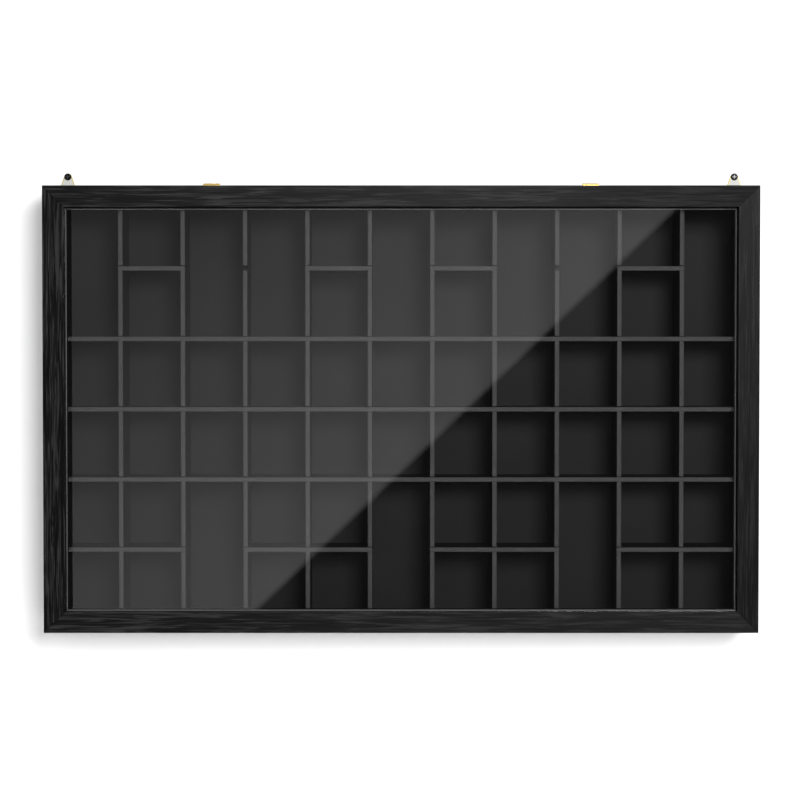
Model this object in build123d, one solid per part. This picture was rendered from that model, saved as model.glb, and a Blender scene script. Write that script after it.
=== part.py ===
from build123d import *
import os

os.makedirs("parts", exist_ok=True)

# Wall display case with a lift-up glazed door, in millimetres.
# +Z is up and the front faces -Y. The wall is the plane y = 0, and the origin lies on it,
# midway between the two wall screws.

# Outside of the case, and the boards of its box.
case_width = 800.0
case_height = 500.0
case_depth = 62.0
board_thick = 15.0
board_round = 0.8
mitre_gap = 0.2

# Back panel, let into a rabbet round the rear of the box.
back_thick = 3.0
back_recess = 2.5
back_rabbet = 7.0
back_play = 0.5

# Grid of thin boards that makes the compartments.
grid_thick = 5.0
grid_setback = 0.5
grid_play = 1.0
grid_headroom = 0.5
grid_ease = 0.4
column_count = 11
row_count = 6
end_column_width = 61.0
notch_depth = 28.0
notch_spare = 1.0
slot_spare = 0.2
slot_relief = 0.4

# Short shelves, each from one upright to another, counted from 0 at the left end board.
short_shelf_spans = {
    "top_row": [(1, 2), (4, 5), (6, 7), (9, 10)],
    "bottom_row": [(0, 2), (3, 5), (6, 8), (9, 11)],
}

# Door frame, pane, and the beads that hold the pane.
door_gap = 1.0
rail_thick = 17.0
rail_width = 24.0
rail_round = 0.6
rail_lip = 6.0
glazing_rabbet = 7.0
pane_thick = 2.0
pane_play = 0.5
bead_thick = 6.0
bead_play = 0.3
bead_overhang = 2.2
bead_round = 1.2

# Butt hinges on the top edge.
hinge_offset = 212.5
hinge_length = 18.0
knuckle_count = 5
knuckle_radius = 2.4
knuckle_gap = 0.3
knuckle_clear = 0.4
hinge_rise = 1.2
leaf_thick = 0.8
leaf_gap = 0.4
leaf_drop = 13.0
leaf_play = 0.2
hinge_pin_radius = 1.0
hinge_pin_clear = 0.05
hinge_pin_head_radius = 1.6
hinge_pin_head_thick = 0.6
hinge_screw_offset = 5.0
hinge_screw_drop = 8.2
hinge_screw_head_radius = 2.1
hinge_screw_head_height = 1.1
hinge_screw_radius = 1.1
hinge_screw_length = 12.0

# Tapered hanger plates behind the top corners, and their screws.
plate_thick = 1.2
plate_rise = 16.2
plate_inset = 16.0
plate_nose_radius = 4.2
plate_foot_width = 25.0
plate_foot_height = 1.5
plate_bevel = 0.3
wall_screw_radius = 2.0
wall_screw_clear = 0.2
wall_screw_neck_radius = 1.8
wall_screw_head_radius = 4.0
wall_screw_head_height = 2.6
wall_screw_head_round = 1.9
wall_screw_length = 31.2
plate_screw_offset = 7.5
plate_screw_head_radius = 2.6
plate_screw_radius = 1.4
plate_screw_length = 11.0

# Hidden fasteners, catch and pads.
screw_tip = 2.5
hole_clear = 0.05
cross_width_share = 0.26
cross_reach_share = 0.62
cross_depth_share = 0.5
key_length = 10.0
key_thick = 3.0
key_depth = 36.0
nail_inset = 8.5
nail_leg = 6.5
nail_thick = 0.8
nail_depth = 10.0
nail_sink = 0.3
panel_pin_radius = 0.7
panel_pin_length = 12.0
panel_pin_head_radius = 1.6
panel_pin_head_thick = 0.4
panel_pin_across_count = 5
panel_pin_up_count = 3
brad_radius = 0.6
brad_length = 15.0
brad_across_count = 5
brad_up_count = 3
magnet_offset = 120.0
magnet_radius = 4.0
magnet_thick = 3.0
strike_radius = 5.0
strike_thick = 1.2
strike_proud = 0.6
bumper_radius = 4.0
bumper_clear = 0.3
bumper_rise = 45.0
pad_rise = 14.0
pad_margin = 0.4

# Stations from the wall to the front.
case_rear = -plate_thick
case_front = case_rear - case_depth
back_rear = case_rear - back_recess
back_front = back_rear - back_thick
grid_front = case_front + grid_setback
door_rear = case_front - door_gap
door_front = door_rear - rail_thick
pane_front = door_front + rail_lip
pane_rear = pane_front + pane_thick
bead_rear = pane_rear + bead_thick
hinge_y = (case_front + door_rear) / 2

# Heights.
case_top = -plate_rise
case_bottom = case_top - case_height
case_middle = (case_top + case_bottom) / 2
hinge_z = case_top + hinge_rise
plate_foot = case_top - (board_thick - back_rabbet)

# Half sizes of the openings, from the middle of the case.
inner_half_width = case_width / 2 - board_thick
inner_half_height = case_height / 2 - board_thick
wall_screw_x = case_width / 2 - plate_inset

# Uprights from left to right, with an end board at each side, and shelves from the bottom up.
end_board_x = inner_half_width - grid_play - grid_thick / 2
first_divider_x = end_board_x - end_column_width - grid_thick
column_pitch = 2 * first_divider_x / (column_count - 2)
divider_xs = [column_pitch * i - first_divider_x for i in range(column_count - 1)]
upright_xs = [-end_board_x] + divider_xs + [end_board_x]
row_pitch = (2 * inner_half_height + grid_thick) / row_count
shelf_zs = [case_middle + row_pitch * (i - row_count / 2) for i in range(1, row_count)]

corners = [(-1, -1), (-1, 1), (1, -1), (1, 1)]
nodes = {}


def block(x, y, z):
    """A box between two values on each axis."""
    size = [abs(b - a) for a, b in (x, y, z)]
    middle = [(a + b) / 2 for a, b in (x, y, z)]
    return Pos(*middle) * Box(*size)


def spread(reach, count):
    """Evenly spaced places from -reach to reach."""
    return [-reach + 2 * reach * i / (count - 1) for i in range(count)]


def mitred(profile, length, width):
    """A length of moulding along X with its outer edge at z = 0 and both ends cut at 45 degrees."""
    stick = extrude(Plane.YZ * profile, amount=length / 2, both=True)
    reach = length / 2 - mitre_gap / 2
    outline = Polygon(
        (-reach, 0), (reach, 0), (reach - width, -width), (width - reach, -width), align=None
    )
    return stick & extrude(Plane.XZ * outline, amount=2 * (case_depth + rail_thick), both=True)


def mitred_frame(profile, inset, width):
    """Four mitred lengths of one moulding, set in from the outside of the case."""
    across = mitred(profile, case_width - 2 * inset, width)
    upright = mitred(profile, case_height - 2 * inset, width)
    half_width = case_width / 2 - inset
    return {
        "top": Pos(0, 0, case_top - inset) * across,
        "bottom": Pos(0, 0, case_bottom + inset) * Rot(0, 180, 0) * across,
        "left": Pos(-half_width, 0, case_middle) * Rot(0, -90, 0) * upright,
        "right": Pos(half_width, 0, case_middle) * Rot(0, 90, 0) * upright,
    }


def turned(points):
    """A solid turned about Z from its half outline, given as radius and height."""
    return revolve(Plane.XZ * Polygon(*points, align=None), axis=Axis.Z)


def countersunk_screw(head_radius, head_height, radius, length, clear=0.0):
    """A screw pointing down from z = 0. With a clearance, the hole that takes it."""
    screw = turned(
        [
            (0, 0),
            (head_radius + clear, 0),
            (radius + clear, -head_height),
            (radius + clear, screw_tip - length),
            (0, -length - clear),
        ]
    )
    if clear:
        return screw
    return screw - cross_recess(head_radius, head_height, 0)


def cross_recess(head_radius, head_height, top):
    """The cross in a screw's head, to half the head's height below its top."""
    half_arm = head_radius * cross_width_share / 2
    reach = head_radius * cross_reach_share
    depth = head_height * cross_depth_share
    slot = block((-reach, reach), (-half_arm, half_arm), (top - depth, top))
    return slot + Rot(0, 0, 90) * slot


def pin_with_head(head_radius, head_thick, radius, length):
    """A plain pin pointing down from z = 0, its flat head above."""
    return turned(
        [
            (0, head_thick),
            (head_radius, head_thick),
            (head_radius, 0),
            (radius, 0),
            (radius, -length),
            (0, -length),
        ]
    )


# Case corner keys, hardwood slips glued across the mitres.
key_middle = board_thick / 2
key_y = (case_front + case_rear) / 2
case_keys = [
    Pos(sx * (case_width / 2 - key_middle), key_y, case_middle + sz * (case_height / 2 - key_middle))
    * Rot(0, 45 * sx * sz, 0)
    * Box(key_length, key_depth, key_thick)
    for sx, sz in corners
]
nodes["case_corner_keys"] = Compound(case_keys)

# Door corner nails, V shaped and driven from the rear, one leg in each rail.
nail_outline = [
    (0, 0),
    (nail_leg, 0),
    (nail_leg, nail_thick),
    (nail_thick, nail_thick),
    (nail_thick, nail_leg),
    (0, nail_leg),
]
door_nails = []
for sx, sz in corners:
    nail_points = [
        (
            sx * (case_width / 2 - nail_inset - across),
            case_middle + sz * (case_height / 2 - nail_inset - down),
        )
        for across, down in nail_outline
    ]
    nail = extrude(Plane.XZ * Polygon(*nail_points, align=None), amount=nail_depth / 2, both=True)
    door_nails.append(Pos(0, door_rear - nail_sink - nail_depth / 2, 0) * nail)
nodes["door_corner_nails"] = Compound(door_nails)

# Wall screws, round headed with a cross recess. A plain neck lies in the hanger plate, and the
# thread, as a plain cylinder, goes on into the wall.
wall_screw_head = Pos(0, 0, wall_screw_head_height / 2) * Cylinder(
    wall_screw_head_radius, wall_screw_head_height
)
wall_screw_head = fillet(wall_screw_head.edges().sort_by(Axis.Z)[-1], wall_screw_head_round)
wall_screw_shank = turned(
    [
        (0, 0),
        (wall_screw_neck_radius, 0),
        (wall_screw_neck_radius, -plate_thick),
        (wall_screw_radius, -plate_thick),
        (wall_screw_radius, screw_tip - wall_screw_length),
        (0, -wall_screw_length),
    ]
)
wall_screw = wall_screw_head + wall_screw_shank
wall_screw -= cross_recess(wall_screw_head_radius, wall_screw_head_height, wall_screw_head_height)
nodes["wall_screws"] = Compound(
    [Pos(sx * wall_screw_x, case_rear, 0) * Rot(90, 0, 0) * wall_screw for sx in (-1, 1)]
)

# Hanger plates, tapered up to a round nose, with one wall hole and two countersunk fixing holes.
plate_screw_z = (case_top + plate_foot) / 2
plate_screws = []
plate_screw_holes = []
plate_screw = countersunk_screw(
    plate_screw_head_radius, plate_thick, plate_screw_radius, plate_screw_length
)
plate_screw_hole = countersunk_screw(
    plate_screw_head_radius, plate_thick, plate_screw_radius, plate_screw_length, hole_clear
)
for side, sx in (("left", -1), ("right", 1)):
    centre = sx * wall_screw_x
    foot = Pos(centre, plate_foot + plate_foot_height / 2) * Rectangle(plate_foot_width, plate_foot_height)
    nose = Pos(centre, 0) * Circle(plate_nose_radius)
    outline = make_hull(foot.edges() + nose.edges())
    plate = extrude(Plane.XZ * outline, amount=plate_thick)
    plate = chamfer(plate.edges().group_by(Axis.Y)[0], plate_bevel)
    plate = plate - Pos(centre, 0, 0) * Rot(90, 0, 0) * Cylinder(
        wall_screw_radius + wall_screw_clear, 3 * plate_thick
    )
    for offset in (-plate_screw_offset, plate_screw_offset):
        place = Pos(centre + offset, 0, plate_screw_z) * Rot(-90, 0, 0)
        plate_screws.append(place * plate_screw)
        plate_screw_holes.append(place * plate_screw_hole)
    nodes[side + "_hanger_plate"] = plate - plate_screw_holes[-2:]
nodes["hanger_plate_screws"] = Compound(plate_screws)

# Hinges: a case leaf, a door leaf and a headed pin on each side, and countersunk screws.
knuckle_length = (hinge_length - (knuckle_count - 1) * knuckle_gap) / knuckle_count
leaf_bottom = case_top - leaf_drop
leaf_shoulder = hinge_z - knuckle_radius - knuckle_clear
hinge_screw_z = case_top - hinge_screw_drop
hinge_screw = countersunk_screw(
    hinge_screw_head_radius, hinge_screw_head_height, hinge_screw_radius, hinge_screw_length
)
hinge_screw_hole = countersunk_screw(
    hinge_screw_head_radius,
    hinge_screw_head_height,
    hinge_screw_radius,
    hinge_screw_length,
    hole_clear,
)


def hinge_leaf(x, inner_y, outer_y, knuckles):
    """A flat leaf with its share of the knuckles rolled from its top edge, bored for the pin."""
    start = x - hinge_length / 2
    leaf = block((start, start + hinge_length), (inner_y, outer_y), (leaf_bottom, leaf_shoulder))
    for i in knuckles:
        left = start + i * (knuckle_length + knuckle_gap)
        leaf += block((left, left + knuckle_length), (inner_y, outer_y), (leaf_shoulder, hinge_z))
        barrel = Cylinder(knuckle_radius, knuckle_length)
        leaf += Pos(left + knuckle_length / 2, hinge_y, hinge_z) * Rot(0, 90, 0) * barrel
    bore = Cylinder(hinge_pin_radius + hinge_pin_clear, 2 * hinge_length)
    return leaf - Pos(x, hinge_y, hinge_z) * Rot(0, 90, 0) * bore


case_leaf_face = hinge_y + leaf_gap / 2
door_leaf_face = hinge_y - leaf_gap / 2
case_leaf_seat = case_leaf_face + leaf_thick
door_leaf_seat = door_leaf_face - leaf_thick
case_screws = []
case_screw_holes = []
door_screws = []
door_screw_holes = []
case_mortises = []
door_mortises = []
for side, sx in (("left", -1), ("right", 1)):
    x = sx * hinge_offset
    for offset in (-hinge_screw_offset, hinge_screw_offset):
        case_place = Pos(x + offset, case_leaf_face, hinge_screw_z) * Rot(90, 0, 0)
        door_place = Pos(x + offset, door_leaf_face, hinge_screw_z) * Rot(-90, 0, 0)
        case_screws.append(case_place * hinge_screw)
        case_screw_holes.append(case_place * hinge_screw_hole)
        door_screws.append(door_place * hinge_screw)
        door_screw_holes.append(door_place * hinge_screw_hole)
    case_leaf = hinge_leaf(x, case_leaf_face, case_leaf_seat, range(0, knuckle_count, 2))
    door_leaf = hinge_leaf(x, door_leaf_seat, door_leaf_face, range(1, knuckle_count, 2))
    nodes[side + "_hinge_case_leaf"] = case_leaf - case_screw_holes[-2:]
    nodes[side + "_hinge_door_leaf"] = door_leaf - door_screw_holes[-2:]

    shaft = Cylinder(hinge_pin_radius, hinge_length)
    pin_head = Cylinder(hinge_pin_head_radius, hinge_pin_head_thick)
    head_at = (hinge_length + hinge_pin_head_thick) / 2
    pin = shaft + Pos(0, 0, head_at) * pin_head + Pos(0, 0, -head_at) * pin_head
    nodes[side + "_hinge_pin"] = Pos(x, hinge_y, hinge_z) * Rot(0, 90, 0) * pin

    half_mortise = hinge_length / 2 + leaf_play
    mortise_x = (x - half_mortise, x + half_mortise)
    mortise_z = (leaf_bottom - leaf_play, case_top + board_thick)
    case_mortises.append(block(mortise_x, (case_leaf_seat, hinge_y), mortise_z))
    door_mortises.append(block(mortise_x, (door_leaf_seat, hinge_y), mortise_z))
    groove_length = hinge_length + 2 * (hinge_pin_head_thick + knuckle_clear)
    groove = Cylinder(knuckle_radius + knuckle_clear, groove_length)
    groove = Pos(x, hinge_y, hinge_z) * Rot(0, 90, 0) * groove
    case_mortises.append(groove)
    door_mortises.append(groove)
nodes["hinge_case_screws"] = Compound(case_screws)
nodes["hinge_door_screws"] = Compound(door_screws)

# Back panel and the pins that hold it in its rabbet.
panel_half_width = inner_half_width + back_rabbet - back_play
panel_half_height = inner_half_height + back_rabbet - back_play
pin_half_width = (inner_half_width + panel_half_width) / 2
pin_half_height = (inner_half_height + panel_half_height) / 2
pin_places = []
for x in spread(pin_half_width - 2 * back_rabbet, panel_pin_across_count):
    pin_places += [(x, case_middle - pin_half_height), (x, case_middle + pin_half_height)]
for z in spread(pin_half_height - 2 * back_rabbet, panel_pin_up_count):
    pin_places += [(-pin_half_width, case_middle + z), (pin_half_width, case_middle + z)]
panel_pin = pin_with_head(
    panel_pin_head_radius, panel_pin_head_thick, panel_pin_radius, panel_pin_length
)
panel_pins = [Pos(x, back_rear, z) * Rot(-90, 0, 0) * panel_pin for x, z in pin_places]
panel_pin_hole = Cylinder(panel_pin_radius + hole_clear, 2 * panel_pin_length + 2 * hole_clear)
panel_pin_holes = [Pos(x, back_rear, z) * Rot(90, 0, 0) * panel_pin_hole for x, z in pin_places]
back_panel = block(
    (-panel_half_width, panel_half_width),
    (back_front, back_rear),
    (case_middle - panel_half_height, case_middle + panel_half_height),
)
nodes["back_panel"] = back_panel - panel_pin_holes
nodes["back_panel_pins"] = Compound(panel_pins)

# Catch: a magnet in the front edge of the bottom board, facing a steel strike on the door.
magnets = []
magnet_pockets = []
strikes = []
strike_pockets = []
catch_z = case_bottom + board_thick / 2
for sx in (-1, 1):
    place = Pos(sx * magnet_offset, case_front, catch_z) * Rot(90, 0, 0)
    magnets.append(place * Pos(0, 0, -magnet_thick / 2) * Cylinder(magnet_radius, magnet_thick))
    pocket = Cylinder(magnet_radius + hole_clear, 2 * magnet_thick)
    magnet_pockets.append(place * pocket)
    seat = Pos(sx * magnet_offset, door_rear, catch_z) * Rot(-90, 0, 0)
    disc = Pos(0, 0, strike_proud - strike_thick / 2) * Cylinder(strike_radius, strike_thick)
    strikes.append(seat * disc)
    pocket = Cylinder(strike_radius + hole_clear, 2 * (strike_thick - strike_proud))
    strike_pockets.append(seat * pocket)
nodes["catch_magnets"] = Compound(magnets)
nodes["catch_strikes"] = Compound(strikes)

# Felt dots that the closed door settles against, and pads that hold the foot off the wall.
bumper_thick = door_gap - bumper_clear
bumper_x = case_width / 2 - board_thick / 2
bumper = Cylinder(bumper_radius, bumper_thick)
nodes["door_bumpers"] = Compound(
    [
        Pos(sx * bumper_x, case_front - bumper_thick / 2, case_bottom + bumper_rise)
        * Rot(90, 0, 0)
        * bumper
        for sx in (-1, 1)
    ]
)
rear_edge = board_thick - back_rabbet
pad_x = case_width / 2 - rear_edge / 2
wall_pad = Cylinder(rear_edge / 2 - pad_margin, plate_thick)
nodes["wall_pads"] = Compound(
    [
        Pos(sx * pad_x, case_rear + plate_thick / 2, case_bottom + pad_rise) * Rot(90, 0, 0) * wall_pad
        for sx in (-1, 1)
    ]
)

# Box of the case: four mitred boards with a rabbet for the back panel.
board_outline = Polygon(
    (case_rear, 0),
    (case_front, 0),
    (case_front, -board_thick),
    (back_front, -board_thick),
    (back_front, back_rabbet - board_thick),
    (case_rear, back_rabbet - board_thick),
    align=None,
)
outer_corners = board_outline.vertices().group_by(Axis.Y)[-1]
board_profile = fillet(outer_corners, board_round)
boards = mitred_frame(board_profile, 0, board_thick)
boards["top"] -= case_mortises + case_screw_holes + plate_screw_holes
boards["bottom"] -= magnet_pockets
for side, board in boards.items():
    nodes["case_" + side + "_board"] = board - case_keys - panel_pin_holes


def upright_board(x):
    """A divider or end board, notched from the front for a shelf at every row."""
    low = case_middle - inner_half_height
    high = case_middle + inner_half_height - grid_headroom
    board = block(
        (x - grid_thick / 2, x + grid_thick / 2), (grid_front, back_front), (low, high)
    )
    front_edges = board.edges().filter_by(Axis.Z).group_by(Axis.Y)[0]
    board = chamfer(front_edges, grid_ease)
    notch_x = (x - grid_thick, x + grid_thick)
    notch_y = (grid_front - grid_thick, grid_front + notch_depth)
    for z in shelf_zs:
        foot = z - grid_thick / 2
        board -= block(notch_x, notch_y, (foot, foot + grid_thick + notch_spare))
    return board


def shelf_board(first, last, z):
    """A shelf between two uprights, slotted from the rear over each upright that it crosses."""
    ends = (upright_xs[first] - grid_thick / 2, upright_xs[last] + grid_thick / 2)
    shelf = block(ends, (grid_front, back_front), (z - grid_thick / 2, z + grid_thick / 2))
    front_edges = shelf.edges().filter_by(Axis.X).group_by(Axis.Y)[0]
    shelf = chamfer(front_edges, grid_ease)
    half_slot = grid_thick / 2 + slot_spare
    slot_y = (grid_front + notch_depth - slot_relief, back_front + grid_thick)
    slot_z = (z - grid_thick, z + grid_thick)
    for x in upright_xs[first : last + 1]:
        shelf -= block((x - half_slot, x + half_slot), slot_y, slot_z)
    return shelf


# Grid: uprights first, then three long shelves and the short ones of the top and bottom rows.
nodes["left_end_board"] = upright_board(upright_xs[0])
nodes["right_end_board"] = upright_board(upright_xs[-1])
for i, x in enumerate(divider_xs, start=1):
    nodes[f"divider_{i:02d}"] = upright_board(x)
for name, z in zip(("lower", "middle", "upper"), shelf_zs[1:-1]):
    nodes["long_shelf_" + name] = shelf_board(0, column_count, z)
for row, z in (("top_row", shelf_zs[-1]), ("bottom_row", shelf_zs[0])):
    for i, (first, last) in enumerate(short_shelf_spans[row], start=1):
        nodes[f"short_shelf_{row}_{i}"] = shelf_board(first, last, z)

# Brads, driven through the beads into the rails.
rabbet_edge = rail_width - glazing_rabbet
bead_inset = rabbet_edge + bead_play
bead_width = glazing_rabbet + bead_overhang - bead_play
bead_half_width = case_width / 2 - bead_inset - bead_width
bead_half_height = case_height / 2 - bead_inset - bead_width
brad_y = (pane_rear + bead_rear) / 2
brad = Pos(0, 0, -brad_length / 2) * Cylinder(brad_radius, brad_length)
brad_hole = Cylinder(brad_radius + hole_clear, 2 * (brad_length + hole_clear))
brad_places = []
for x in spread(bead_half_width - 2 * bead_width, brad_across_count):
    brad_places.append(Pos(x, brad_y, case_middle + bead_half_height) * Rot(180, 0, 0))
    brad_places.append(Pos(x, brad_y, case_middle - bead_half_height))
for z in spread(bead_half_height - 2 * bead_width, brad_up_count):
    brad_places.append(Pos(bead_half_width, brad_y, case_middle + z) * Rot(0, -90, 0))
    brad_places.append(Pos(-bead_half_width, brad_y, case_middle + z) * Rot(0, 90, 0))
nodes["bead_brads"] = Compound([place * brad for place in brad_places])
brad_holes = [place * brad_hole for place in brad_places]

# Beads, with a rounded nose that stands a little inside the sight edge.
bead_outline = Polygon(
    (bead_rear, 0), (pane_rear, 0), (pane_rear, -bead_width), (bead_rear, -bead_width), align=None
)
nose_corner = bead_outline.vertices().group_by(Axis.X)[0].sort_by(Axis.Y)[0]
bead_profile = fillet(nose_corner, bead_round)
for side, bead in mitred_frame(bead_profile, bead_inset, bead_width).items():
    nodes[side + "_bead"] = bead - brad_holes

# Pane, held between the lip of the rails and the beads.
pane_half_width = case_width / 2 - rabbet_edge - pane_play
pane_half_height = case_height / 2 - rabbet_edge - pane_play
nodes["door_pane"] = block(
    (-pane_half_width, pane_half_width),
    (pane_front, pane_rear),
    (case_middle - pane_half_height, case_middle + pane_half_height),
)

# Door rails: four mitred lengths with a lip in front and a glazing rabbet behind.
rail_outline = Polygon(
    (door_rear, 0),
    (door_front, 0),
    (door_front, -rail_width),
    (pane_front, -rail_width),
    (pane_front, -rabbet_edge),
    (door_rear, -rabbet_edge),
    align=None,
)
front_corners = rail_outline.vertices().group_by(Axis.X)[0]
rail_profile = fillet(front_corners, rail_round)
rails = mitred_frame(rail_profile, 0, rail_width)
rails["top"] -= door_mortises + door_screw_holes
rails["bottom"] -= strike_pockets
for side, rail in rails.items():
    nodes["door_" + side + "_rail"] = rail - door_nails - brad_holes

for name, shape in nodes.items():
    export_step(shape, f"parts/{name}.step")
print(len(nodes), "nodes")
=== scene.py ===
import math

import bpy
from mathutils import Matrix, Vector


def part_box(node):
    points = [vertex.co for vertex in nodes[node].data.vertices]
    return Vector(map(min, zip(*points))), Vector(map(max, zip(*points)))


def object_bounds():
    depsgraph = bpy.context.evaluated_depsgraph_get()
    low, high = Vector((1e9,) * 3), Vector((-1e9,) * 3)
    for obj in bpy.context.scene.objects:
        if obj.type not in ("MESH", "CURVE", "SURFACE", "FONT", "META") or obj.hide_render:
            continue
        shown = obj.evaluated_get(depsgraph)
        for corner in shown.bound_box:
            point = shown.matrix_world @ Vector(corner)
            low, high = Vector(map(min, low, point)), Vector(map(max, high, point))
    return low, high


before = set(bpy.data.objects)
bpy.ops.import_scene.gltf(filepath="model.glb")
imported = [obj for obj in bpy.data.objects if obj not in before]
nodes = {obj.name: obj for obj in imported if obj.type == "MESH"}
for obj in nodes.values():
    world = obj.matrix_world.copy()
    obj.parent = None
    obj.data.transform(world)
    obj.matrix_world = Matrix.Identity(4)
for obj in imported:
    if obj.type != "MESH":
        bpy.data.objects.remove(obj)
cad_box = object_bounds()
scene = bpy.context.scene

# The camera stands in front of the case, a little above its middle, and looks slightly down.
# A pixel is one of the photograph's 800 across, and its row 350 is level with the camera.
picture_pixels = 800
focal_pixels = 2000
eye_row = 350
yaw_pixels = 1.1
door_face_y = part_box("door_top_rail")[0].y
camera_distance = 2.231
camera_height = -0.1995

camera = bpy.data.objects.new("camera", bpy.data.cameras.new("camera"))
scene.collection.objects.link(camera)
camera.location = (0, door_face_y - camera_distance, camera_height)
camera_pitch = math.atan((picture_pixels / 2 - eye_row) / focal_pixels)
camera_yaw = math.atan(yaw_pixels / focal_pixels)
camera.rotation_euler = (math.radians(90) - camera_pitch, 0, camera_yaw)
camera.data.sensor_width = 36
camera.data.lens = camera.data.sensor_width * focal_pixels / picture_pixels
scene.camera = camera
scene.view_settings.view_transform = "Standard"


# The studio: a white backdrop close behind the case, seen only from its front, and a pale floor
# well below. The backdrop takes the case's shadow and hides the shanks of the wall screws.
class Value:
    """A node's output, with arithmetic that adds Math nodes."""

    def __init__(self, owner, socket):
        self.owner, self.socket = owner, socket

    def math(self, operation, *others):
        return self.owner.node("ShaderNodeMath", dict(enumerate((self, *others))), operation=operation)

    def __add__(self, other):
        return self.math("ADD", other)

    def __sub__(self, other):
        return self.math("SUBTRACT", other)

    def __mul__(self, other):
        return self.math("MULTIPLY", other)

    def __rsub__(self, other):
        return self.math("MULTIPLY", -1).math("ADD", other)

    __radd__, __rmul__ = __add__, __mul__


def rgba(colour):
    """A colour with its alpha, from red, green and blue or from one grey level."""
    return (*colour, 1) if isinstance(colour, tuple) else (colour, colour, colour, 1)


class Tree:
    """A node tree, with its one method for adding a node and short forms of that method."""

    def __init__(self, tree):
        self.tree = tree

    def feed(self, node, socket, value):
        """Links what varies to a node's socket, and sets what is constant on it."""
        value = getattr(value, "socket", value)
        if isinstance(value, bpy.types.NodeSocket):
            self.tree.links.new(value, node.inputs[socket])
        else:
            node.inputs[socket].default_value = value

    def node(self, kind, inputs=None, out=0, stops=None, **settings):
        """A new node's output. Its settings and its ramp's stops come before its sockets."""
        made = self.tree.nodes.new(kind)
        for key, value in settings.items():
            setattr(made, key, value)
        if stops:
            elements = made.color_ramp.elements
            while len(elements) < len(stops):
                elements.new(1)
            for element, (place, colour) in zip(elements, stops):
                element.position = place
                element.color = rgba(colour)
        for socket, value in (inputs or {}).items():
            self.feed(made, socket, value)
        return Value(self, made.outputs[out])

    def place(self, scale=(1, 1, 1), move=(0, 0, 0)):
        """The place on the object in metres, scaled and then moved."""
        spot = self.node("ShaderNodeTexCoord", out="Object")
        return self.node("ShaderNodeMapping", {"Vector": spot, "Scale": scale, "Location": move})

    def axis(self, number, move=(0, 0, 0)):
        """The place along X (0), Y (1) or Z (2)."""
        return self.node("ShaderNodeSeparateXYZ", {0: self.place(move=move)}, out=number)

    def noise(self, at, scale=1.0, detail=3.0, roughness=0.5, distortion=0.0):
        inputs = {"Vector": at, "Scale": scale, "Detail": detail}
        inputs.update({"Roughness": roughness, "Distortion": distortion})
        return self.node("ShaderNodeTexNoise", inputs)

    def scaled(self, value, from_low, from_high, to_low, to_high):
        """A value carried from one range to another, and held inside it."""
        inputs = dict(enumerate((value, from_low, from_high, to_low, to_high)))
        return self.node("ShaderNodeMapRange", inputs)

    def blend(self, factor, low, high):
        """A colour between two. A Mix node's colours are its inputs 6 and 7 and its output 2."""
        low, high = (colour if isinstance(colour, Value) else rgba(colour) for colour in (low, high))
        return self.node("ShaderNodeMix", {0: factor, 6: low, 7: high}, out=2, data_type="RGBA")

    def bump(self, height, strength, distance):
        inputs = {"Height": height, "Strength": strength, "Distance": distance}
        return self.node("ShaderNodeBump", inputs)


class Finish(Tree):
    """A material and its shader. An underscore stands for a space in the name of a socket."""

    def __init__(self, name, **constants):
        self.material = bpy.data.materials.new(name)
        self.material.use_nodes = True
        super().__init__(self.material.node_tree)
        self.tree.nodes.clear()
        self.output = self.tree.nodes.new("ShaderNodeOutputMaterial")
        self.shader = self.tree.nodes.new("ShaderNodeBsdfPrincipled")
        self.feed(self.output, "Surface", self.shader.outputs[0])
        self.drive(**constants)

    def drive(self, **inputs):
        """Feeds the shader's sockets and returns the material."""
        for socket, value in inputs.items():
            self.feed(self.shader, socket.replace("_", " "), value)
        return self.material


def stage_sheet(name, corners, material):
    """A flat sheet of the stage, from its corners in order."""
    mesh = bpy.data.meshes.new(name)
    mesh.from_pydata([Vector(corner) for corner in corners], [], [range(len(corners))])
    made = bpy.data.objects.new(name, mesh)
    scene.collection.objects.link(made)
    made.data.materials.append(material)
    return made


backdrop_y = 0.0004
backdrop_top = 2.0
stage_reach = 3.0
floor_z = -1.2
floor_depth = 4.0

backdrop_paint = Finish(
    "wall_white",
    Base_Color=rgba(0.62),
    Roughness=0.9,
    Emission_Color=rgba(1.0),
    Emission_Strength=0.18,
)
from_behind = backdrop_paint.node("ShaderNodeNewGeometry", out="Backfacing")
clear = backdrop_paint.node("ShaderNodeBsdfTransparent")
one_sided = backdrop_paint.node(
    "ShaderNodeMixShader", {0: from_behind, 1: backdrop_paint.shader.outputs[0], 2: clear}
)
backdrop_paint.feed(backdrop_paint.output, "Surface", one_sided)
backdrop = stage_sheet(
    "stage_wall",
    [
        (-stage_reach, backdrop_y, floor_z),
        (stage_reach, backdrop_y, floor_z),
        (stage_reach, backdrop_y, backdrop_top),
        (-stage_reach, backdrop_y, backdrop_top),
    ],
    backdrop_paint.material,
)
backdrop.visible_shadow = False
backdrop.visible_diffuse = False
backdrop.visible_glossy = False

floor_paint = Finish("floor_paint", Base_Color=rgba(0.85), Roughness=0.8)
floor = stage_sheet(
    "stage_floor",
    [
        (-stage_reach, -floor_depth, floor_z),
        (stage_reach, -floor_depth, floor_z),
        (stage_reach, floor_depth, floor_z),
        (-stage_reach, floor_depth, floor_z),
    ],
    floor_paint.material,
)
floor.visible_glossy = False

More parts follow.
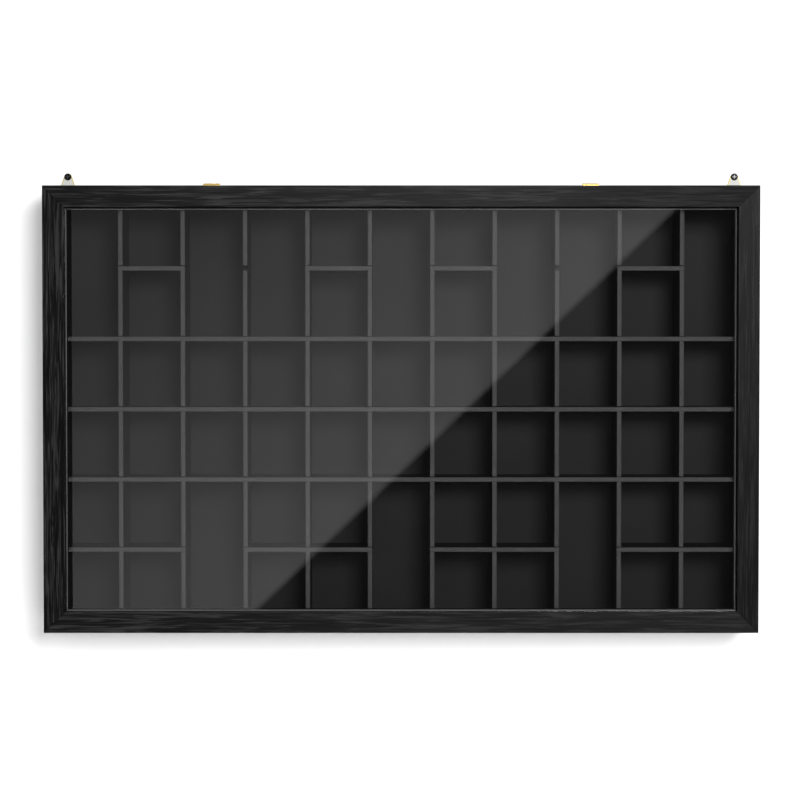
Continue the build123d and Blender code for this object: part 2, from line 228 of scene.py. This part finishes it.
# Lights: a broad key from the upper right, a lower fill on the same side that no surface mirrors,
# and a back light for the other side. The sky is bright on matt surfaces and dim in reflections.
sky_on_matt, sky_in_gloss, sky_in_mirror = 0.55, 0.2, 0.04
world = bpy.data.worlds.new("studio")
scene.world = world
world.use_nodes = True
background = world.node_tree.nodes["Background"]
background.inputs["Color"].default_value = rgba(1.0)
sky = Tree(world.node_tree)
glossy_ray = sky.node("ShaderNodeLightPath", out="Is Glossy Ray")
mirror_ray = sky.node("ShaderNodeLightPath", out="Is Singular Ray")
soft_level = sky.scaled(glossy_ray, 0, 1, sky_on_matt, sky_in_gloss)
sky.feed(background, "Strength", sky.scaled(mirror_ray, 0, 1, soft_level, sky_in_mirror))
light_aim = Vector((0, 0, ((cad_box[0] + cad_box[1]) / 2).z))


def softbox(name, place, width, height, power):
    """A lamp behind a sheet of cloth, turned to the middle of the case."""
    light = bpy.data.lights.new(name, "AREA")
    light.shape = "RECTANGLE"
    light.size, light.size_y = width, height
    light.energy = power
    made = bpy.data.objects.new(name, light)
    scene.collection.objects.link(made)
    made.location = place
    made.rotation_euler = (light_aim - Vector(place)).to_track_quat("-Z", "Y").to_euler()
    return made


softbox("key", (1.0, -3.2, 0.8), 1.3, 0.9, 120)
fill = softbox("fill", (0.85, -3.2, 0.11), 1.3, 0.4, 46)
fill.visible_glossy = False
softbox("rear", (0, 3.0, 1.7), 1.4, 1.0, 60)

# The glare on the pane: a grey card, seen only as a reflection, whose slanting edge is soft.
# It is brightest along that edge and fades towards its far corner. Its shape is given by the
# pixels of the photograph where it shows, whose column 401 is straight ahead of the camera.
eye_column = 401
edge_top, edge_foot = Vector((680, 209)), Vector((261, 610))
card_left, card_top, card_bottom = 71.6, 208.9, 610.0
soft_pixels, fade_pixels = 6.5, 330.0
edge_level, corner_level = 0.62, 0.2
card_y = -4.0
pane_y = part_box("door_pane")[0].y
mirrored_eye_y = 2 * pane_y - camera.location.y
pane_pixel = (pane_y - camera.location.y) / focal_pixels
card_pixel = pane_pixel * (mirrored_eye_y - card_y) / (mirrored_eye_y - pane_y)


def card_point(column, row):
    """The card's point whose reflection in the pane shows at a pixel of the photograph."""
    return ((column - eye_column) * card_pixel, card_y, camera_height + (eye_row - row) * card_pixel)


card_paint = Finish("card_paint", Base_Color=rgba(0.0), Roughness=1.0, Emission_Strength=1.0)
edge_run = (edge_foot - edge_top).normalized()
across_edge = Vector((-edge_run.y, 0, -edge_run.x)) / card_pixel
beyond = card_paint.node(
    "ShaderNodeVectorMath", {0: card_paint.place(), 1: across_edge}, out="Value", operation="DOT_PRODUCT"
)
inside = beyond - Vector(card_point(*edge_top)).dot(across_edge)
fade = card_paint.scaled(inside, 0, fade_pixels, edge_level, corner_level)
soft_edge = card_paint.scaled(inside, 0, soft_pixels, 0, 1)
card_paint.drive(Emission_Color=fade * soft_edge)
card = stage_sheet(
    "stage_card",
    [
        card_point(card_left, card_bottom),
        card_point(card_left, card_top),
        card_point(edge_top.x, card_top),
        card_point(edge_foot.x, card_bottom),
    ],
    card_paint.material,
)
card.visible_camera = card.visible_diffuse = card.visible_shadow = False
card.visible_transmission = False


# Door frame: four lengths of moulding wrapped in black wood-grain foil, mitred at the corners.
# The grain is printed and pressed along each length, so it turns at the mitres. A fine dark line
# lies in each mitre. A painted shadow, another fine dark line, runs along the inner edge of the top
# and right lengths, standing in for the shade of their lip under a light from the upper right.
case_low, case_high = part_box("case_left_board")[0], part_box("case_right_board")[1]
case_middle = (case_low + case_high) / 2
case_half = (case_high - case_low) / 2
rail_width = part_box("door_left_rail")[1].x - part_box("door_left_rail")[0].x
mitre_line, edge_shadow_width = 0.00045, 0.00015
line_shade = 0.8
left_contrast, right_contrast = 1.0, 0.45
grain_middle, ramp_middle = 0.72, 0.47
dull_from_x = 0.04
pore_black, foil_black, grain_grey = 0.0003, 0.0025, (0.019, 0.0188, 0.0185)


def wood_grain_foil(name, along, gloss, roughness=0.52, dulling=0.0):
    """Black ash foil with its grain along X (0) or Z (2), duller by so much a metre to the right."""
    foil = Finish(name, Specular_IOR_Level=gloss)
    across = 2 - along
    centred = tuple(-case_middle)

    def stretched(along_scale, across_scale, move=(0, 0, 0)):
        scale = [across_scale] * 3
        scale[along] = along_scale
        return foil.place(scale, move)

    wander = foil.noise(stretched(5, 30, (1.1, 0.3, 2.2)), detail=2.0)
    bands = foil.noise(stretched(15, 400), detail=4.0, roughness=0.6, distortion=0.9)
    fine = foil.noise(stretched(45, 600, (3.1, 1.7, 0.4)), roughness=0.6, distortion=0.4)
    streaks = foil.node("ShaderNodeValToRGB", {"Fac": bands}, stops=[(0.38, 0.0), (0.60, 1.0)])
    contrast = foil.scaled(foil.axis(0), -case_half.x, case_half.x, left_contrast, right_contrast)
    grain = streaks * 0.8 + fine * 0.4 + wander * 0.3
    level = (grain - grain_middle) * contrast + ramp_middle

    from_side = case_half.x - foil.axis(0, centred).math("ABSOLUTE")
    from_end = case_half.z - foil.axis(2, centred).math("ABSOLUTE")
    mitre = (from_side - from_end).math("ABSOLUTE").math("LESS_THAN", mitre_line)
    # Painted shadow: a fine dark line along the inner edge of the top and right lengths only.
    from_edge = (case_half[across] - rail_width) - foil.axis(across, centred)
    edge = from_edge.math("ABSOLUTE").math("LESS_THAN", edge_shadow_width)
    colour = foil.node(
        "ShaderNodeValToRGB",
        {"Fac": level * (1 - mitre * line_shade) * (1 - edge * line_shade)},
        stops=[(0.0, pore_black), (0.5, foil_black), (1.0, grain_grey)],
    )
    right = foil.axis(0) - dull_from_x
    return foil.drive(
        Base_Color=colour,
        Roughness=roughness - fine * 0.15 + right.math("MAXIMUM", 0.0) * dulling,
        Normal=foil.bump(level, 0.3, 0.0002),
    )


def finish_node(name, material):
    """Gives a carried-over solid its finish."""
    slots = nodes[name].data.materials
    slots.clear()
    slots.append(material)


upright_foil = wood_grain_foil("black_foil_upright", 2, 0.07)
finish_node("door_top_rail", wood_grain_foil("black_foil_top", 0, 0.115, dulling=0.6))
finish_node("door_bottom_rail", wood_grain_foil("black_foil_bottom", 0, 0.15))
finish_node("door_left_rail", upright_foil)
finish_node("door_right_rail", upright_foil)

# Case: a box of four mitred boards, wrapped in the same foil as the door. The foil of the top and
# bottom boards is duller and rougher, so a light above them leaves no glare.
level_foil = wood_grain_foil("black_foil_case", 0, 0.02, roughness=0.95)
finish_node("case_top_board", level_foil)
finish_node("case_bottom_board", level_foil)
finish_node("case_left_board", upright_foil)
finish_node("case_right_board", upright_foil)

# Beads: thin black lacquered mouldings round the back of the pane, with a rounded nose.
# A paler band, 0.5 to 1.4 mm wide, runs along each near its nose: a painted highlight for the
# light that the rounded nose catches, brightest on the top bead.
opening_low = Vector((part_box("left_bead")[1].x, 0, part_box("bottom_bead")[1].z))
opening_high = Vector((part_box("right_bead")[0].x, 0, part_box("top_bead")[0].z))
opening_middle = (opening_low + opening_high) / 2
opening_half = (opening_high - opening_low) / 2


def bead_lacquer(side, axis, outwards, near, far, level):
    """Black lacquer with a painted highlight, a grey band of a given level between two distances out
    from the inner edge.
    """
    lacquer = Finish(f"{side}_bead_lacquer", Specular_IOR_Level=0.15)
    mottle = lacquer.noise(lacquer.place(), 300)
    out = lacquer.axis(axis, tuple(-opening_middle)) * outwards - opening_half[axis]
    band = out.math("GREATER_THAN", near) * out.math("LESS_THAN", far)
    black = lacquer.blend(mottle, 0.0010, 0.0025)
    # Painted highlight: the paler grey band along the nose.
    nose_highlight = lacquer.blend(mottle, level * 0.8, level * 1.25)
    return lacquer.drive(
        Base_Color=lacquer.blend(band, black, nose_highlight), Roughness=0.4 + mottle * 0.15
    )


# A near distance below zero starts the band at the bead's very edge.
for bead in (
    ("top", 2, 1, -0.001, 0.0005, 0.14),
    ("bottom", 2, -1, 0.0009, 0.0023, 0.065),
    ("left", 0, -1, 0.0005, 0.0018, 0.065),
    ("right", 0, 1, -0.001, 0.0011, 0.07),
):
    finish_node(f"{bead[0]}_bead", bead_lacquer(*bead))

# Pane: a clear polished sheet, held between the rails' lip and the beads. It mirrors 4 percent of
# the light face on and all of it at a grazing angle. Broad wipe marks vary its gloss a little.
face_on_gloss = 0.04
pane = Finish("clear_pane", Base_Color=rgba(1.0), Metallic=1.0, Roughness=0.0)
slant = pane.node("ShaderNodeLayerWeight", {"Blend": 0.5}, out="Facing")
mirrored = slant.math("POWER", 5) * (1 - face_on_gloss) + face_on_gloss
wipes = pane.noise(pane.place((3, 3, 9)))
pane.drive(Alpha=mirrored * (wipes * 0.1 + 0.95))
finish_node("door_pane", pane.material)

# Grid: thin boards faced in matt black foil, crossing in half notches, with a very faint grain
# and a paler dark grey front edge. The end boards, beside the case's own sides, are duller.
edge_depth = 0.0005
grid_front_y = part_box("divider_01")[0].y


def grid_foil(name, gloss):
    """Matt black foil, dark grey along the front edge."""
    foil = Finish(name, Specular_IOR_Level=gloss)
    grain = foil.noise(foil.place((60, 60, 60)), detail=4.0)
    tooth = foil.noise(foil.place(), 700, 2.0)
    weave = grain * 0.6 + tooth * 0.4
    face_black = foil.blend(weave, 0.0015, 0.0035)
    edge_grey = foil.blend(weave, 0.024, 0.037)
    front_edge = foil.axis(1).math("LESS_THAN", grid_front_y + edge_depth)
    return foil.drive(
        Base_Color=foil.blend(front_edge, face_black, edge_grey),
        Roughness=0.5 + tooth * 0.1,
        Normal=foil.bump(grain, 0.05, 0.0003),
    )


board_foil = grid_foil("grid_foil", 0.06)
end_foil = grid_foil("end_board_foil", 0.02)
for name in nodes:
    if name.startswith(("divider_", "long_shelf", "short_shelf")):
        finish_node(name, board_foil)
finish_node("left_end_board", end_foil)
finish_node("right_end_board", end_foil)

# Back panel: hardboard, faced black on the side that shows and left its own brown behind.
# It lies in the rabbet round the rear of the box.
panel_low, panel_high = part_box("back_panel")
hardboard = Finish("back_board", Specular_IOR_Level=0.08)
cloud = hardboard.noise(hardboard.place((9, 9, 9)), detail=4.0)
speck = hardboard.noise(hardboard.place(), 700, 2.0)
front_black = hardboard.blend(cloud * 0.85 + speck * 0.15, 0.0050, 0.0095)
rear_brown = hardboard.blend(cloud * 0.4 + speck * 0.6, (0.11, 0.06, 0.03), (0.24, 0.14, 0.075))
rear_half = hardboard.axis(1).math("GREATER_THAN", (panel_low.y + panel_high.y) / 2)
hardboard.drive(
    Base_Color=hardboard.blend(rear_half, front_black, rear_brown),
    Roughness=0.5 + speck * 0.1,
    Normal=hardboard.bump(cloud, 0.05, 0.0005),
)
finish_node("back_panel", hardboard.material)


# Hinges: two small butt hinges on the top edge, of bright brass. Each has two leaves, let into
# the case and the door, with a headed pin through its knuckles and countersunk brass screws.
def metal(name, low, high, roughness):
    """A rubbed metal with fine scratches and small changes of tone."""
    made = Finish(name, Metallic=1.0)
    tone = made.noise(made.place(), 400, 4.0)
    scratch = made.noise(made.place((2200, 2200, 60)), detail=2.0)
    return made.drive(
        Base_Color=made.blend(tone * 0.7 + scratch * 0.3, low, high),
        Roughness=roughness + scratch * 0.15,
        Normal=made.bump(scratch, 0.08, 0.0001),
    )


brass = metal("bright_brass", (0.70, 0.47, 0.12), (0.93, 0.70, 0.28), 0.34)
for side in ("left", "right"):
    for part in ("hinge_case_leaf", "hinge_door_leaf", "hinge_pin"):
        finish_node(f"{side}_{part}", brass)
finish_node("hinge_case_screws", brass)
finish_node("hinge_door_screws", brass)

# Hanger plates: tapered brass plates behind the top corners, each held by two countersunk brass
# screws. Their faces carry a painted reflection: a pale, dull, barely metallic grey standing in for
# the white surroundings their polished brass mirrors. Yellow brass shows only along the flanks.
screw_low, screw_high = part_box("wall_screws")
screw_head_radius = (screw_high.z - screw_low.z) / 2
screw_x = screw_high.x - screw_head_radius
flank_slope = 0.354
pale_half_width = 0.0034
plate_finish = Finish("hanger_plate_painted_reflection")
cast = plate_finish.noise(plate_finish.place(), 260, 4.0)
rub = plate_finish.noise(plate_finish.place((1500, 1500, 120)), detail=2.0)
from_screw = (plate_finish.axis(0).math("ABSOLUTE") - screw_x).math("ABSOLUTE")
flank = (from_screw + plate_finish.axis(2) * flank_slope).math("GREATER_THAN", pale_half_width)
# Painted reflection: the pale grey face between the brass flanks.
painted_reflection_face = plate_finish.blend(cast * 0.6 + rub * 0.4, (0.38, 0.38, 0.37), (0.48, 0.48, 0.46))
plate_finish.drive(
    Base_Color=plate_finish.blend(flank, painted_reflection_face, (0.72, 0.60, 0.2)),
    Metallic=flank * 0.9 + 0.1,
    Roughness=0.58 + rub * 0.15,
    Normal=plate_finish.bump(rub, 0.08, 0.0001),
)
finish_node("left_hanger_plate", plate_finish.material)
finish_node("right_hanger_plate", plate_finish.material)
finish_node("hanger_plate_screws", brass)

# Wall screws: round headed steel screws with a cross recess, blackened with oxide. The bottom of
# the recess is a flat grey, a painted highlight standing in for the light its arms catch.
grey_depth = 0.0004
arm_half_width, arm_reach = screw_head_radius * 0.15, screw_head_radius * 0.66
oxide = Finish("black_oxide", Metallic=1.0)
mark = oxide.noise(oxide.place(), 900)
off_x = (oxide.axis(0).math("ABSOLUTE") - screw_x).math("ABSOLUTE")
off_z = oxide.axis(2).math("ABSOLUTE")
sunk = oxide.axis(1).math("GREATER_THAN", screw_low.y + grey_depth)
in_arm = off_x.math("MINIMUM", off_z).math("LESS_THAN", arm_half_width)
in_reach = off_x.math("MAXIMUM", off_z).math("LESS_THAN", arm_reach)
oxide_black = oxide.blend(mark, (0.006, 0.006, 0.007), (0.02, 0.02, 0.022))
# Painted highlight: the grey bottom of the cross recess.
oxide.drive(
    Base_Color=oxide.blend(in_arm * sunk * in_reach, oxide_black, 0.09),
    Roughness=0.24 + mark * 0.15,
    Normal=oxide.bump(mark, 0.1, 0.0001),
)
finish_node("wall_screws", oxide.material)

# Catch: two nickel plated magnets in the front edge of the bottom board, which hold two zinc
# plated steel strikes on the door.
zinc = metal("zinc", (0.5, 0.51, 0.53), (0.75, 0.76, 0.78), 0.35)
nickel = metal("nickel", (0.62, 0.61, 0.59), (0.8, 0.79, 0.77), 0.2)
finish_node("catch_magnets", nickel)
finish_node("catch_strikes", zinc)

# Pins, brads and nails, of zinc plated steel: the pins hold the back panel in its rabbet, the
# brads hold the beads, and V shaped nails are driven across the door's mitres from the rear.
finish_node("back_panel_pins", zinc)
finish_node("bead_brads", zinc)
finish_node("door_corner_nails", zinc)

# Felt: dots that the shut door settles against, and pads that hold the foot of the case level
# with its plates. They are cut from black felt.
felt = Finish("black_felt", Roughness=1.0)
fuzz = felt.noise(felt.place(), 4000)
felt.drive(Base_Color=felt.blend(fuzz, 0.008, 0.04), Normal=felt.bump(fuzz, 0.5, 0.0003))
finish_node("door_bumpers", felt.material)
finish_node("wall_pads", felt.material)

# Corner keys: slips of plain beech, glued across the mitres of the case. Their grain runs from
# front to back.
beech = Finish("beech", Roughness=0.6)
rings = beech.noise(beech.place((300, 20, 300)))
beech.drive(Base_Color=beech.blend(rings, (0.42, 0.27, 0.15), (0.62, 0.45, 0.28)))
finish_node("case_corner_keys", beech.material)
